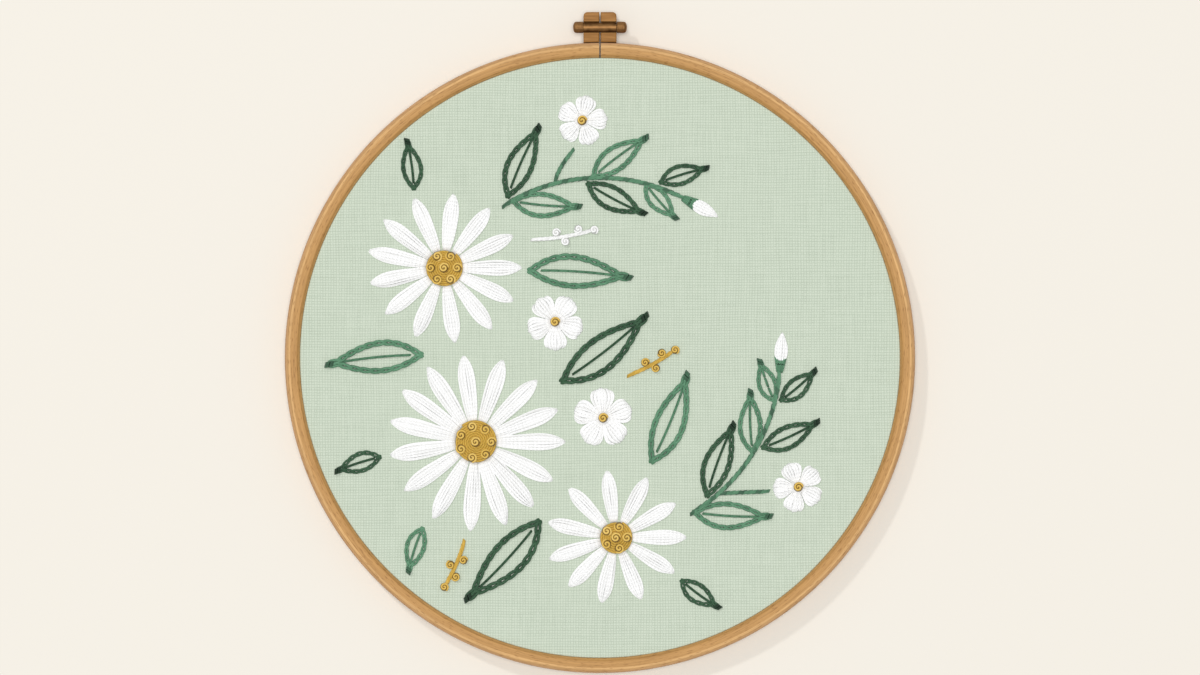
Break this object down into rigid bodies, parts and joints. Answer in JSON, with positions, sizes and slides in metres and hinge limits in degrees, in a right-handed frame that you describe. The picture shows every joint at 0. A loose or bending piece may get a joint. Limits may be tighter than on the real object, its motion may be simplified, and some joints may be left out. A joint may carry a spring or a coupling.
{
  "type": "hoop embroidery art, stitched cloth in a wooden embroidery hoop",
  "caption": "Round two-ring wooden embroidery hoop with a screw clasp, holding a stretched sage cloth with raised white flowers, gold knotted centres and outlined green leaves.",
  "frame": {"origin": "middle of the footprint's box, on the surface that the back of the outer hoop rests on", "axes": "+Z out of the stitched face, +Y towards the clasp, +X to the right seen from the front"},
  "size_m": [0.21, 0.2202, 0.0121],
  "materials": {
    "beech": "pale steam-bent beech, lightly waxed",
    "dark_beech": "darker stained beech, lightly waxed",
    "bronze": "aged brown brass",
    "cloth": "sage evenweave cotton",
    "white_thread": "white stranded cotton, soft sheen",
    "gold_thread": "gold stranded cotton, soft sheen",
    "mid_green_thread": "mid green stranded cotton, soft sheen",
    "dark_green_thread": "dark green stranded cotton, soft sheen"
  },
  "bodies": {
    "root": {"outer_ring": "beech", "inner_ring": "beech", "ground_cloth": "cloth", "clasp_lug_left": "dark_beech", "clasp_lug_right": "dark_beech", "clamp_screw": "bronze", "barrel_nut": "bronze", "daisy_large_petals": "white_thread", "daisy_large_centre": "gold_thread", "daisy_middle_petals": "white_thread", "daisy_middle_centre": "gold_thread", "daisy_small_petals": "white_thread", "daisy_small_centre": "gold_thread", "small_flower_low_petals": "white_thread", "small_flower_low_knot": "gold_thread", "small_flower_middle_petals": "white_thread", "small_flower_middle_knot": "gold_thread", "small_flower_top_petals": "white_thread", "small_flower_top_knot": "gold_thread", "small_flower_right_petals": "white_thread", "small_flower_right_knot": "gold_thread", "spray_top_green": "mid_green_thread", "spray_top_leaf_1": "dark_green_thread", "spray_top_leaf_3": "dark_green_thread", "spray_top_leaf_6": "dark_green_thread", "spray_top_bud": "white_thread", "spray_right_green": "mid_green_thread", "spray_right_leaf_2": "dark_green_thread", "spray_right_leaf_4": "dark_green_thread", "spray_right_leaf_5": "dark_green_thread", "spray_right_bud": "white_thread", "leaf_left": "mid_green_thread", "leaf_below": "dark_green_thread", "leaf_to_centre": "dark_green_thread", "leaf_inner_top": "mid_green_thread", "leaf_inner_low": "mid_green_thread", "leaf_tip_west": "dark_green_thread", "leaf_tip_south": "mid_green_thread", "leaf_tip_north": "dark_green_thread", "leaf_tip_low": "dark_green_thread", "sprig_centre": "gold_thread", "sprig_top": "white_thread", "sprig_below": "gold_thread"}
  },
  "joints": []
}
